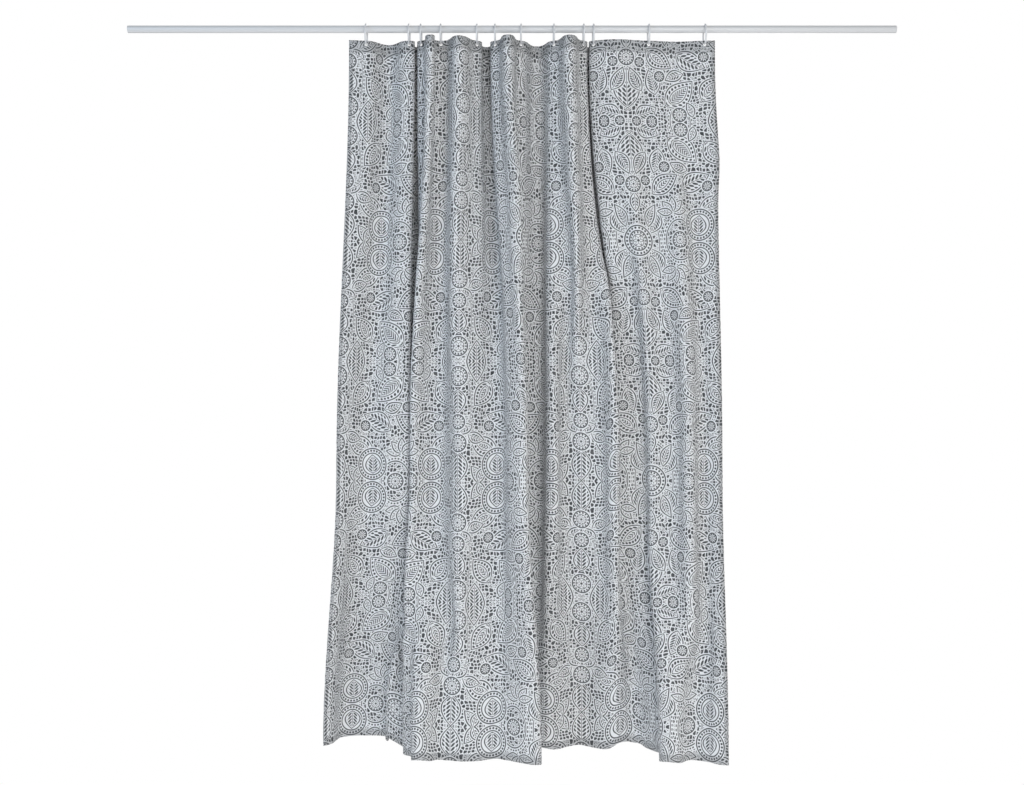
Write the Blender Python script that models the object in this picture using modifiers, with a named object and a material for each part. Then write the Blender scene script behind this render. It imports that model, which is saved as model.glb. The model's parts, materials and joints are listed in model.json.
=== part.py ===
"""A printed fabric shower curtain on its rod: a sheet with four hems, twelve eyelets and twelve rings.

The origin is the middle of the rod's axis. X runs along the rod, -Y is the front and Z is up.
Every vertical place in the cloth is given by two flat measures, in metres on the cloth laid flat:
`along` from its left edge and `down` from its top edge.
"""

import math

import bpy
import numpy as np

# Driving dimensions, in metres
ROD_LENGTH = 2.128
ROD_RADIUS = 0.010
ROD_WALL = 0.0012
RING_OUTER_RADIUS = 0.029
RING_WIRE_RADIUS = 0.0023
CLOTH_WIDTH = 1.80
CLOTH_DROP = 1.98
CLOTH_THICKNESS = 0.0004
TOP_HEM = 0.034
BOTTOM_HEM = 0.020
SIDE_HEM = 0.011
HEM_THICKNESS = 0.0006
FIRST_EYELET = 0.047
LAST_EYELET = 0.0282
EYELET_HOLE_RADIUS = 0.0042
EYELET_BARREL_RADIUS = 0.0048
EYELET_FLANGE_RADIUS = 0.0058
EYELET_BELOW_EDGE = 0.0105
FLANGE_THICKNESS = 0.0004
GAP = 0.0003

# Where each ring hangs on the rod, and how the cloth at its eyelet is turned, in degrees from the rod
RING_PLACES = (
    (-0.404, 8),
    (-0.285, 0),
    (-0.252, -26),
    (-0.197, 0),
    (-0.097, 26),
    (-0.047, -26),
    (0.025, 26),
    (0.116, -26),
    (0.1985, 28),
    (0.2255, -22),
    (0.3785, 4),
    (0.5338, -4),
)
# Which way the cloth between two rings swings out: 1 to the back, -1 to the front
FOLD_SIDES = (1, 1, -1, -1, 1, -1, 1, -1, 1, -1, 1)

# The cloth's line half way down and along its bottom edge, seen from above.
# Each point gives along, X, Y, and the line's heading there in degrees.
MIDDLE_DOWN = 1.19
MIDDLE_LINE = (
    (0.000, -0.483, -0.024, 10),
    (0.180, -0.325, 0.014, 8),
    (0.215, -0.293, 0.014, 5),
    (0.325, -0.262, 0.090, 0),
    (0.438, -0.286, -0.006, 0),
    (0.620, -0.149, -0.046, -25),
    (0.862, 0.038, -0.102, 20),
    (1.025, 0.052, 0.030, 30),
    (1.126, 0.109, -0.036, -20),
    (1.240, 0.192, -0.001, 0),
    (1.354, 0.288, -0.044, 0),
    (1.470, 0.329, 0.024, 0),
    (1.550, 0.384, -0.006, -25),
    (1.680, 0.485, -0.046, -10),
    (1.800, 0.577, -0.034, 20),
)
BOTTOM_LINE = (
    (0.000, -0.533, 0.066, 16),
    (0.165, -0.412, 0.141, 0),
    (0.280, -0.353, 0.076, -50),
    (0.410, -0.298, -0.016, -45),
    (0.516, -0.258, -0.103, 0),
    (0.647, -0.142, -0.064, 0),
    (0.880, 0.074, -0.109, 10),
    (1.136, 0.099, 0.046, -10),
    (1.340, 0.289, 0.041, 8),
    (1.440, 0.375, 0.044, -60),
    (1.590, 0.403, -0.094, -60),
    (1.800, 0.581, -0.114, 3),
)

# Sampling
FINE_STEP = 0.001
ROWS = 100
FLAT_AROUND_EYELET = 0.0064
WAVE_SHARPNESS = 1.3
FOLD_SOFTNESS = 0.05
STEEPEST_AT_RINGS = math.radians(100)
STEEPEST_BELOW = math.radians(112)
FIT_STIFFNESS = 0.0003
CIRCLE_STEPS = 32
EYELET_STEPS = 16
RING_SEGMENTS = 32
RING_SIDES = 6
CLOTH_ROWS_BETWEEN_HEMS = 18
POINTS_PER_FOLD = 8

# Sizes that follow
RING_CENTRE_RADIUS = RING_OUTER_RADIUS - RING_WIRE_RADIUS
RING_CENTRE_Z = ROD_RADIUS + GAP - (RING_OUTER_RADIUS - 2 * RING_WIRE_RADIUS)
WIRE_TOP_Z = RING_CENTRE_Z - RING_CENTRE_RADIUS + RING_WIRE_RADIUS
EYELET_Z = WIRE_TOP_Z + 2 * GAP - EYELET_HOLE_RADIUS
CLOTH_TOP_Z = EYELET_Z + EYELET_BELOW_EDGE
EYELET_PITCH = (CLOTH_WIDTH - FIRST_EYELET - LAST_EYELET) / (len(RING_PLACES) - 1)
HEM_OFFSET = CLOTH_THICKNESS / 2 + GAP + HEM_THICKNESS / 2
FRONT_FLANGE = CLOTH_THICKNESS / 2 + GAP
BACK_FLANGE = HEM_OFFSET + HEM_THICKNESS / 2 + GAP


def clear_scene():
    for thing in list(bpy.data.objects):
        bpy.data.objects.remove(thing, do_unlink=True)


def new_collection(name):
    group = bpy.data.collections.new(name)
    bpy.context.scene.collection.children.link(group)
    return group


def new_material(name, colour, roughness, metallic=0.0):
    made = bpy.data.materials.new(name)
    made.use_nodes = True
    shader = made.node_tree.nodes["Principled BSDF"]
    shader.inputs["Base Color"].default_value = (*colour, 1.0)
    shader.inputs["Roughness"].default_value = roughness
    shader.inputs["Metallic"].default_value = metallic
    return made


def place_in(group, thing, material):
    for other in list(thing.users_collection):
        other.objects.unlink(thing)
    group.objects.link(thing)
    thing.data.materials.clear()
    thing.data.materials.append(material)


# The line of a fold: its heading goes from one end heading to the other, plus a
# wave that swings the cloth out to one side and a bow that carries it across.
# The wave is flattened at its height, so that a deep fold has two straight legs.


def fold_heading(share, ends, wave, bow, steepest):
    straight = ends[0] + (ends[1] - ends[0]) * share
    swing = np.tanh(WAVE_SHARPNESS * np.sin(2 * math.pi * share)) / math.tanh(WAVE_SHARPNESS)
    heading = straight + wave * swing + bow * np.sin(math.pi * share)
    return np.clip(heading, -steepest, steepest)


def fold_reach(ends, wave, bow, steepest):
    share = (np.arange(200) + 0.5) / 200
    heading = fold_heading(share, ends, wave, bow, steepest)
    return np.array([np.cos(heading).mean(), np.sin(heading).mean()])


def solve_two(reach, wanted, first, stiffness=1e-9):
    """Two unknowns by least squares with short steps. Stiffness holds them near 0 where they do little."""
    at = np.array(first, float)
    small = 1e-5
    for _ in range(80):
        miss = wanted - reach(*at)
        slope = np.array([(reach(*(at + d)) - reach(*at)) / small for d in np.eye(2) * small])
        step = np.linalg.solve(slope @ slope.T + stiffness * np.eye(2), slope @ miss - stiffness * at)
        at += step * min(1.0, 0.3 / max(np.abs(step).max(), 1e-9))
        if np.abs(step).max() < 1e-10:
            break
    return at


def solve_fold(length, across, ends, side, steepest):
    """The wave and bow of a fold of this length of cloth between two points `across` apart."""
    wanted = np.array(across) / length
    wave = side * 1.15 * math.acos(min(np.hypot(*wanted), 1.0))
    lean = math.atan2(wanted[1], wanted[0]) - (ends[0] + ends[1]) / 2
    return solve_two(lambda w, b: fold_reach(ends, w, b, steepest), wanted, (wave, lean))


def line_through(points):
    """The stretches of a line: (start, end, end headings, wave, bow, steepest)."""
    stretches = []
    for (a, ax, ay, ah), (b, bx, by, bh) in zip(points, points[1:]):
        ends = (math.radians(ah), math.radians(bh))
        wave, bow = solve_fold(b - a, (bx - ax, by - ay), ends, 1, STEEPEST_BELOW)
        stretches.append((a, b, ends, wave, bow, STEEPEST_BELOW))
    return stretches


def top_line():
    """The line at the eyelets: flat at each ring, with a fold between each two."""
    flat, stretches = FLAT_AROUND_EYELET, []
    for number, (x, turn) in enumerate(RING_PLACES):
        along = FIRST_EYELET + number * EYELET_PITCH
        heading = math.radians(turn)
        start = 0.0 if number == 0 else along - flat
        end = CLOTH_WIDTH if number == len(RING_PLACES) - 1 else along + flat
        stretches.append((start, end, (heading, heading), 0.0, 0.0, STEEPEST_AT_RINGS))
        if end == CLOTH_WIDTH:
            break
        next_x, next_turn = RING_PLACES[number + 1]
        next_heading = math.radians(next_turn)
        across = (
            next_x - x - flat * (math.cos(heading) + math.cos(next_heading)),
            -flat * (math.sin(heading) + math.sin(next_heading)),
        )
        ends = (heading, next_heading)
        length = EYELET_PITCH - 2 * flat
        wave, bow = solve_fold(length, across, ends, FOLD_SIDES[number], STEEPEST_AT_RINGS)
        stretches.append((end, end + length, ends, wave, bow, STEEPEST_AT_RINGS))
    return stretches


def headings(stretches, along):
    found = np.zeros_like(along)
    for start, end, ends, wave, bow, steepest in stretches:
        inside = (along >= start) & (along <= end)
        share = (along[inside] - start) / (end - start)
        found[inside] = fold_heading(share, ends, wave, bow, steepest)
    return found


def soften(heading, width):
    """The headings averaged over `width` of cloth, so that a fold line turns in a curve."""
    window = np.hanning(round(width / FINE_STEP) + 2)[1:-1]
    half = len(window) // 2
    padded = np.concatenate([np.full(half, heading[0]), heading, np.full(len(window) - 1 - half, heading[-1])])
    return np.convolve(padded, window / window.sum(), "valid")


def ease(value):
    value = min(max(value, 0.0), 1.0)
    return value * value * (3 - 2 * value)


def traced(heading, start):
    """The points of a line with these headings, one each FINE_STEP."""
    steps = np.stack([np.cos(heading), np.sin(heading)], axis=1) * FINE_STEP
    return start + np.concatenate([np.zeros((1, 2)), np.cumsum(steps, axis=0)])


def line_between(high, low, share):
    return (1 - share) * high + share * low


def row_line(heading, steepest, knots, places):
    """A row of the cloth. Between knots its headings are changed a little so that it passes its places."""
    fitted = heading.copy()
    here = places[0]
    for first, last, there in zip(knots, knots[1:], places[1:]):
        part = heading[first:last]
        hump = np.sin(math.pi * (np.arange(last - first) + 0.5) / (last - first))
        wanted = (there - here) / ((last - first) * FINE_STEP)

        def turned(scale, bow):
            return np.clip(part + hump * (scale * part + bow), -steepest, steepest)

        def reach(scale, bow):
            found = turned(scale, bow)
            return np.array([np.cos(found).mean(), np.sin(found).mean()])

        fitted[first:last] = turned(*solve_two(reach, wanted, (0.0, 0.0), FIT_STIFFNESS))
        here = traced(fitted[first:last], here)[-1]
    return traced(fitted, places[0])


def eyelet_places():
    """How far along the cloth each eyelet is."""
    return [FIRST_EYELET + number * EYELET_PITCH for number in range(len(RING_PLACES))]


def cloth_surface():
    """The sheet's points, one row for each of ROWS + 1 heights and one column for each FINE_STEP."""
    middles = (np.arange(round(CLOTH_WIDTH / FINE_STEP)) + 0.5) * FINE_STEP
    first_x, first_turn = RING_PLACES[0][0], math.radians(RING_PLACES[0][1])
    corner = np.array([first_x, 0.0]) - FIRST_EYELET * np.array([math.cos(first_turn), math.sin(first_turn)])
    top = headings(top_line(), middles)
    middle = headings(line_through(MIDDLE_LINE), middles)
    bottom = headings(line_through(BOTTOM_LINE), middles)
    lines = (traced(top, corner), traced(middle, MIDDLE_LINE[0][1:3]), traced(bottom, BOTTOM_LINE[0][1:3]))
    middle, bottom = soften(middle, FOLD_SOFTNESS), soften(bottom, FOLD_SOFTNESS)
    knots = [round(along / FINE_STEP) for along in (0.0, *eyelet_places(), CLOTH_WIDTH)]
    rows = []
    downs = np.linspace(0, CLOTH_DROP, ROWS + 1)
    for down in downs:
        upper = ease((down - TOP_HEM) / (MIDDLE_DOWN - TOP_HEM))
        lower = ease((down - MIDDLE_DOWN) / (CLOTH_DROP - MIDDLE_DOWN))
        heading = line_between(top, line_between(middle, bottom, lower), upper)
        places = line_between(lines[0], line_between(lines[1], lines[2], lower), upper)[knots]
        steepest = line_between(STEEPEST_AT_RINGS, STEEPEST_BELOW, upper)
        rows.append(row_line(heading, steepest, knots, places))
    rows = np.array(rows)
    # a thread that hangs aslant keeps its length, so it reaches less far down
    step = downs[1]
    aside = np.diff(rows, axis=0)
    fall = np.sqrt(np.maximum(step**2 - (aside**2).sum(axis=2), 0.0))
    z = CLOTH_TOP_Z - np.concatenate([np.zeros((1, rows.shape[1])), np.cumsum(fall, axis=0)])
    return np.concatenate([rows, z[..., None]], axis=2)


def sample(field, along, down):
    """The field's value at flat places on the cloth, between its points."""
    column = np.clip(along / FINE_STEP, 0, field.shape[1] - 1.001)
    row = np.clip(down / CLOTH_DROP * ROWS, 0, ROWS - 0.001)
    i, j = row.astype(int), column.astype(int)
    u, v = (row - i)[..., None], (column - j)[..., None]
    above = field[i, j] * (1 - v) + field[i, j + 1] * v
    below = field[i + 1, j] * (1 - v) + field[i + 1, j + 1] * v
    return above * (1 - u) + below * u


def corner_normals(points, downward):
    """Vectors to the back that keep an offset sheet one unit away from the faces on both sides of each point."""
    chords = np.diff(points, axis=1)
    before = np.cross(np.concatenate([chords[:, :1], chords], axis=1), downward)
    after = np.cross(np.concatenate([chords, chords[:, -1:]], axis=1), downward)
    before /= np.linalg.norm(before, axis=2, keepdims=True)
    after /= np.linalg.norm(after, axis=2, keepdims=True)
    return (before + after) / (1 + (before * after).sum(axis=2, keepdims=True))


def sheet(name, alongs, downs, offset, thickness, group, material):
    """A closed sheet over part of the cloth, its middle layer `offset` behind the cloth's."""
    along, down = np.meshgrid(alongs, downs)
    points = sample(SURFACE, along, down)
    points = points + offset * corner_normals(points, sample(DOWNWARD, along, down))
    columns = len(alongs)
    faces = [
        (r * columns + c, r * columns + c + 1, (r + 1) * columns + c + 1, (r + 1) * columns + c)
        for r in range(len(downs) - 1)
        for c in range(columns - 1)
    ]
    mesh = bpy.data.meshes.new(name)
    mesh.from_pydata([tuple(p) for p in points.reshape(-1, 3)], [], faces)
    mesh.update()
    thing = bpy.data.objects.new(name, mesh)
    bpy.context.scene.collection.objects.link(thing)
    # split into triangles first, so that a twisted face is bent the same way on its front and its back
    split = thing.modifiers.new("split", "TRIANGULATE")
    split.quad_method = "FIXED"
    thick = thing.modifiers.new("thickness", "SOLIDIFY")
    thick.thickness = thickness
    thick.offset = 0.0
    thick.use_even_offset = True
    place_in(group, thing, material)
    mesh.shade_smooth()
    return thing


def turned(name, profile, steps, group, material):
    """A closed profile of (radius, height) points turned about the object's Z axis."""
    mesh = bpy.data.meshes.new(name)
    count = len(profile)
    edges = [(i, (i + 1) % count) for i in range(count)]
    mesh.from_pydata([(radius, 0.0, height) for radius, height in profile], edges, [])
    thing = bpy.data.objects.new(name, mesh)
    bpy.context.scene.collection.objects.link(thing)
    screw = thing.modifiers.new("turn", "SCREW")
    screw.axis = "Z"
    screw.angle = 2 * math.pi
    screw.steps = steps
    screw.render_steps = steps
    screw.use_merge_vertices = True
    screw.merge_threshold = 0.00001
    place_in(group, thing, material)
    return thing


def make_rod(group, material):
    inner, half = ROD_RADIUS - ROD_WALL, ROD_LENGTH / 2
    profile = [(ROD_RADIUS, half), (ROD_RADIUS, -half), (inner, -half), (inner, half)]
    rod = turned("rod", profile, CIRCLE_STEPS, group, material)
    rod.rotation_euler = (0.0, math.pi / 2, 0.0)


def eyelet_seats():
    """For each eyelet, its centre on the cloth and how far the cloth is turned there, in radians."""
    seats = []
    for number in range(len(RING_PLACES)):
        along = np.array([FIRST_EYELET + number * EYELET_PITCH])
        down = np.array([EYELET_BELOW_EDGE])
        centre = sample(SURFACE, along, down)[0]
        reach = sample(SURFACE, along + EYELET_HOLE_RADIUS, down)[0] - centre
        seats.append((centre, math.atan2(reach[1], reach[0])))
    return seats


def make_ring(number, x, group, material):
    bpy.ops.mesh.primitive_torus_add(
        major_radius=RING_CENTRE_RADIUS,
        minor_radius=RING_WIRE_RADIUS,
        major_segments=RING_SEGMENTS,
        minor_segments=RING_SIDES,
        location=(x, 0.0, RING_CENTRE_Z),
        rotation=(0.0, math.pi / 2, 0.0),
    )
    ring = bpy.context.object
    ring.name = f"ring_{number:02d}"
    ring.data.shade_smooth()
    place_in(group, ring, material)


def make_eyelet(number, centre, turn, group, material):
    """A short barrel through the cloth and the hem, with a flange on each side. Its axis crosses the cloth."""
    front, back = -FRONT_FLANGE, BACK_FLANGE
    outline = [
        (EYELET_FLANGE_RADIUS, back + FLANGE_THICKNESS),
        (EYELET_FLANGE_RADIUS, back),
        (EYELET_BARREL_RADIUS, back),
        (EYELET_BARREL_RADIUS, front),
        (EYELET_FLANGE_RADIUS, front),
        (EYELET_FLANGE_RADIUS, front - FLANGE_THICKNESS),
        (EYELET_HOLE_RADIUS, front - FLANGE_THICKNESS),
        (EYELET_HOLE_RADIUS, back + FLANGE_THICKNESS),
    ]
    eyelet = turned(f"eyelet_{number:02d}", outline, EYELET_STEPS, group, material)
    eyelet.location = centre
    eyelet.rotation_euler = (-math.pi / 2, 0.0, turn)


def make_hole_cutter(number, centre, turn, group):
    """A cutter for one eyelet's hole, a gap wider than the barrel."""
    bpy.ops.mesh.primitive_cylinder_add(
        vertices=EYELET_STEPS,
        radius=EYELET_BARREL_RADIUS + GAP,
        depth=0.006,
        location=centre,
        rotation=(math.pi / 2, 0.0, turn),
    )
    cutter = bpy.context.object
    cutter.name = f"eyelet_hole_{number:02d}"
    for other in list(cutter.users_collection):
        other.objects.unlink(cutter)
    group.objects.link(cutter)
    cutter.hide_render = True
    cutter.display_type = "WIRE"
    return cutter


def cut_holes(thing, cutters):
    """One Boolean with the whole group of cutters, which don't touch each other."""
    cut = thing.modifiers.new("eyelet_holes", "BOOLEAN")
    cut.operation = "DIFFERENCE"
    cut.solver = "EXACT"
    cut.operand_type = "COLLECTION"
    cut.collection = cutters


def places_along():
    """Where the sheet is cut into faces across its width, with a flat face at each eyelet."""
    flat = FLAT_AROUND_EYELET
    edges = [0.0, SIDE_HEM]
    for along in eyelet_places():
        edges += [along - flat, along + flat]
    edges += [CLOTH_WIDTH - SIDE_HEM, CLOTH_WIDTH]
    places = []
    for start, end in zip(edges, edges[1:]):
        steps = POINTS_PER_FOLD if end - start > 4 * flat else 1
        places += [start + (end - start) * step / steps for step in range(steps)]
    return np.array(places + [CLOTH_WIDTH])


def make_cloth(group, holes, cloth, hem):
    alongs = places_along()
    hem_top = [0.0, TOP_HEM]
    below = TOP_HEM + GAP
    above = CLOTH_DROP - BOTTOM_HEM
    between = np.linspace(below, above - GAP, CLOTH_ROWS_BETWEEN_HEMS)
    downs = np.concatenate([hem_top, between, [above, CLOTH_DROP]])
    panel = sheet("curtain_panel", alongs, downs, 0.0, CLOTH_THICKNESS, group, cloth)
    cut_holes(panel, holes)
    top = sheet("top_hem", alongs, hem_top, HEM_OFFSET, HEM_THICKNESS, group, hem)
    cut_holes(top, holes)
    sheet("bottom_hem", alongs, [above, CLOTH_DROP], HEM_OFFSET, HEM_THICKNESS, group, hem)
    left, right = [0.0, SIDE_HEM], [CLOTH_WIDTH - SIDE_HEM, CLOTH_WIDTH]
    sheet("left_side_hem", left, between, HEM_OFFSET, HEM_THICKNESS, group, hem)
    sheet("right_side_hem", right, between, HEM_OFFSET, HEM_THICKNESS, group, hem)


SURFACE = cloth_surface()
DOWNWARD = np.gradient(SURFACE, axis=0)


def main():
    clear_scene()
    parts = new_collection("shower_curtain")
    holes = new_collection("eyelet_hole_cutters")
    metal = new_material("painted_tube", (0.70, 0.71, 0.73), 0.35)
    plastic = new_material("white_plastic", (0.86, 0.86, 0.87), 0.3)
    cloth = new_material("printed_cloth", (0.45, 0.46, 0.48), 0.85)
    hem = new_material("hem_cloth", (0.40, 0.41, 0.43), 0.85)
    make_rod(parts, metal)
    for number, (centre, turn) in enumerate(eyelet_seats(), start=1):
        make_ring(number, centre[0], parts, plastic)
        make_eyelet(number, centre, turn, parts, plastic)
        make_hole_cutter(number, centre, turn, holes)
    make_cloth(parts, holes, cloth, hem)


main()
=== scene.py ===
"""The looks of a printed shower curtain on its rod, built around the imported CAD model.

Everything is in metres in the model's frame: the origin is the middle of the rod's axis, X runs along the
rod, -Y is the front and Z is up. A place in the cloth is two flat measures: `along` from its left edge and
`down` from its top edge. The print is drawn by shader nodes in centimetres on the flat cloth.
"""

import json
import math

import bpy
import numpy as np
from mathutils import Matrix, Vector, noise

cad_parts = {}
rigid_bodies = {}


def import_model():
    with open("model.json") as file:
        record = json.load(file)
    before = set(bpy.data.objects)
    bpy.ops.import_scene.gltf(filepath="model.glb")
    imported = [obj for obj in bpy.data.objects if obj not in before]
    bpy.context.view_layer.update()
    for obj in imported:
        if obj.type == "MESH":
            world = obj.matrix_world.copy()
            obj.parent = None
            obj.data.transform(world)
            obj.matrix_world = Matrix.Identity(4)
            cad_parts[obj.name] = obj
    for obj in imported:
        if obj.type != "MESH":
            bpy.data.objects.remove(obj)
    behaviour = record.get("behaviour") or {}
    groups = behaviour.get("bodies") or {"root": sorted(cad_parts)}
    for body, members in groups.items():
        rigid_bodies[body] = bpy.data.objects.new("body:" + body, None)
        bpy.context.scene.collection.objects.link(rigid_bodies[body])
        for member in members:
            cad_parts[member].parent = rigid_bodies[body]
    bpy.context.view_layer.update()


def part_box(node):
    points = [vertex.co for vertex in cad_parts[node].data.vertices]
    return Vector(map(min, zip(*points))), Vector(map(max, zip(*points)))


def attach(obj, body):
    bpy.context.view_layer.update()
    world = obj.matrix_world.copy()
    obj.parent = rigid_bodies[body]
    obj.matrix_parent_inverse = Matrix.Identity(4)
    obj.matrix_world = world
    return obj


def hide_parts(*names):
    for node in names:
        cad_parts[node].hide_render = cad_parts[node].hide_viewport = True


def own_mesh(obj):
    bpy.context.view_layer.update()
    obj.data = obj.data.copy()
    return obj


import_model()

# Sizes that the CAD model has
CLOTH_WIDTH = 1.80
CLOTH_DROP = 1.98
CLOTH_THICKNESS = 0.0004
TOP_HEM = 0.034
BOTTOM_HEM = 0.020
SIDE_HEM = 0.011
HEM_THICKNESS = 0.0006
GAP = 0.0003
ROD_WALL = 0.0012
FIRST_EYELET = 0.047
LAST_EYELET = 0.0282
EYELET_BELOW_EDGE = 0.0105
EYELET_HOLE_RADIUS = 0.0042
EYELET_BARREL_RADIUS = 0.0048
EYELET_FLANGE_RADIUS = 0.0058
FLANGE_THICKNESS = 0.0004
RING_OUTER_RADIUS = 0.029
RING_WIRE_RADIUS = 0.0023
HEM_OFFSET = CLOTH_THICKNESS / 2 + GAP + HEM_THICKNESS / 2
CLOTH_TOP_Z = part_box("curtain_panel")[1][2]

# Where each ring hangs on the rod, and how the cloth at its eyelet is turned, in degrees from the rod
RING_PLACES = (
    (-0.404, 8),
    (-0.285, 0),
    (-0.252, -26),
    (-0.197, 0),
    (-0.097, 26),
    (-0.047, -26),
    (0.025, 26),
    (0.116, -26),
    (0.1985, 28),
    (0.2255, -22),
    (0.3785, 4),
    (0.5338, -4),
)
# Which way the cloth between two rings swings out: 1 to the back, -1 to the front
FOLD_SIDES = (1, 1, -1, -1, 1, -1, 1, -1, 1, -1, 1)
EYELET_PITCH = (CLOTH_WIDTH - FIRST_EYELET - LAST_EYELET) / (len(RING_PLACES) - 1)

# The cloth's line part way down and along its bottom edge, seen from above.
# Each point gives along, X, Y, and the line's heading there in degrees.
MIDDLE_DOWN = 1.19
MIDDLE_LINE = (
    (0.000, -0.483, -0.024, 10),
    (0.180, -0.325, 0.014, 8),
    (0.215, -0.293, 0.014, 5),
    (0.325, -0.262, 0.090, 0),
    (0.438, -0.286, -0.006, 0),
    (0.620, -0.149, -0.046, -25),
    (0.862, 0.038, -0.102, 20),
    (1.025, 0.052, 0.030, 30),
    (1.126, 0.109, -0.036, -20),
    (1.240, 0.192, -0.001, 0),
    (1.354, 0.288, -0.044, 0),
    (1.470, 0.329, 0.024, 0),
    (1.550, 0.384, -0.006, -25),
    (1.680, 0.485, -0.046, -10),
    (1.800, 0.577, -0.034, 20),
)
BOTTOM_LINE = (
    (0.000, -0.533, 0.066, 16),
    (0.165, -0.412, 0.141, 0),
    (0.280, -0.353, 0.076, -50),
    (0.410, -0.298, -0.016, -45),
    (0.516, -0.258, -0.103, 0),
    (0.647, -0.142, -0.064, 0),
    (0.880, 0.074, -0.109, 10),
    (1.136, 0.099, 0.046, -10),
    (1.340, 0.289, 0.041, 8),
    (1.440, 0.375, 0.044, -60),
    (1.590, 0.403, -0.094, -60),
    (1.800, 0.581, -0.114, 3),
)
# How the folds are drawn
FINE_STEP = 0.001
ROWS = 198
FLAT_AROUND_EYELET = 0.0064
WAVE_SHARPNESS = 1.3
FOLD_SOFTNESS = 0.05
STEEPEST_AT_RINGS = math.radians(100)
STEEPEST_BELOW = math.radians(112)
FIT_STIFFNESS = 0.0003
FOLD_SAMPLES = 200
SOLVER_ROUNDS = 80
SOLVER_NUDGE = 1e-5
SOLVER_LONGEST_STEP = 0.3
SOLVER_CLOSE_ENOUGH = 1e-10

# How fine the meshes are
CLOTH_COLUMNS = 210
CLOTH_ROWS = 180
ROWS_AT_EYELETS = 4
HEM_ROWS = 4
HEM_COLUMNS = 3
RING_STEPS = 64
RING_WIRE_STEPS = 18
ROD_STEPS = 96
EYELET_STEPS = 40
HOLE_STEPS = 24
CUTTER_DEPTH = 0.006
CORNER_STEPS = 3
ROD_CORNER = 0.0004
EYELET_CORNER = 0.00015

# Each kind of wrinkle: how far it stands out, how wide and how tall its features are, and its noise seed
SOFT_WAVES = (0.0034, 0.055, 0.60, 3.1)
RIPPLES = (0.0016, 0.022, 0.25, 9.4)
CREASES = (0.0012, 0.11, 0.035, 17.7)
SIDE_PUCKERS = (0.0022, 0.2, 0.022, 23.5)
BOTTOM_PUCKERS = (0.0009, 0.02, 0.3, 31.3)
SIDE_PUCKERS_REACH = 0.02
BOTTOM_PUCKERS_REACH = 0.03
# The cloth is kept plain down to here, near the rings, and is fully wrinkled this much lower
WRINKLES_START = 0.03
WRINKLES_GROW = 0.16

# The seams: short stitches in a row, a little way in from each hem's edge
STITCH_LENGTH = 0.0030
STITCH_PITCH = 0.0042
STITCH_SIDES = 5
STITCH_SHOULDERS = (0.2, 0.8)
THREAD_RADIUS = 0.00028
THREAD_PROUD = 0.35
SEAM_INSET = 0.0016
SEAM_FROM_SIDE = 0.004
SEAM_FROM_TOP_HEM = 0.002


# ---------------------------------------------------------------- the cloth's shape


def fold_heading(share, ends, wave, bow, steepest):
    straight = ends[0] + (ends[1] - ends[0]) * share
    swing = np.tanh(WAVE_SHARPNESS * np.sin(2 * math.pi * share)) / math.tanh(WAVE_SHARPNESS)
    heading = straight + wave * swing + bow * np.sin(math.pi * share)
    return np.clip(heading, -steepest, steepest)


def fold_reach(ends, wave, bow, steepest):
    share = (np.arange(FOLD_SAMPLES) + 0.5) / FOLD_SAMPLES
    heading = fold_heading(share, ends, wave, bow, steepest)
    return np.array([np.cos(heading).mean(), np.sin(heading).mean()])


def solve_two(reach, wanted, first, stiffness=1e-9):
    """Two unknowns by least squares, in short steps. Stiffness holds them near 0 where they do little."""
    at = np.array(first, float)
    nudges = np.eye(2) * SOLVER_NUDGE
    for _ in range(SOLVER_ROUNDS):
        miss = wanted - reach(*at)
        slope = np.array([(reach(*(at + nudge)) - reach(*at)) / SOLVER_NUDGE for nudge in nudges])
        step = np.linalg.solve(slope @ slope.T + stiffness * np.eye(2), slope @ miss - stiffness * at)
        longest = max(np.abs(step).max(), 1e-9)
        at += step * min(1.0, SOLVER_LONGEST_STEP / longest)
        if np.abs(step).max() < SOLVER_CLOSE_ENOUGH:
            break
    return at


def solve_fold(length, across, ends, side, steepest):
    """The wave and bow of a fold of this length of cloth between two points `across` apart."""
    wanted = np.array(across) / length
    wave = side * 1.15 * math.acos(min(np.hypot(*wanted), 1.0))
    lean = math.atan2(wanted[1], wanted[0]) - (ends[0] + ends[1]) / 2
    return solve_two(lambda w, b: fold_reach(ends, w, b, steepest), wanted, (wave, lean))


def line_through(points):
    """The stretches of a line: (start, end, end headings, wave, bow, steepest)."""
    stretches = []
    for (a, ax, ay, ah), (b, bx, by, bh) in zip(points, points[1:]):
        ends = (math.radians(ah), math.radians(bh))
        wave, bow = solve_fold(b - a, (bx - ax, by - ay), ends, 1, STEEPEST_BELOW)
        stretches.append((a, b, ends, wave, bow, STEEPEST_BELOW))
    return stretches


def eyelet_places():
    """How far along the cloth each eyelet is."""
    return [FIRST_EYELET + number * EYELET_PITCH for number in range(len(RING_PLACES))]


def top_line():
    """The line at the eyelets: flat at each ring, with a fold between each two."""
    flat = FLAT_AROUND_EYELET
    stretches = []
    for number, (along, (x, turn)) in enumerate(zip(eyelet_places(), RING_PLACES)):
        heading = math.radians(turn)
        start = 0.0 if number == 0 else along - flat
        end = CLOTH_WIDTH if number == len(RING_PLACES) - 1 else along + flat
        stretches.append((start, end, (heading, heading), 0.0, 0.0, STEEPEST_AT_RINGS))
        if end == CLOTH_WIDTH:
            break
        next_x, next_turn = RING_PLACES[number + 1]
        next_heading = math.radians(next_turn)
        across = (
            next_x - x - flat * (math.cos(heading) + math.cos(next_heading)),
            -flat * (math.sin(heading) + math.sin(next_heading)),
        )
        ends = (heading, next_heading)
        length = EYELET_PITCH - 2 * flat
        wave, bow = solve_fold(length, across, ends, FOLD_SIDES[number], STEEPEST_AT_RINGS)
        stretches.append((end, end + length, ends, wave, bow, STEEPEST_AT_RINGS))
    return stretches


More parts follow.
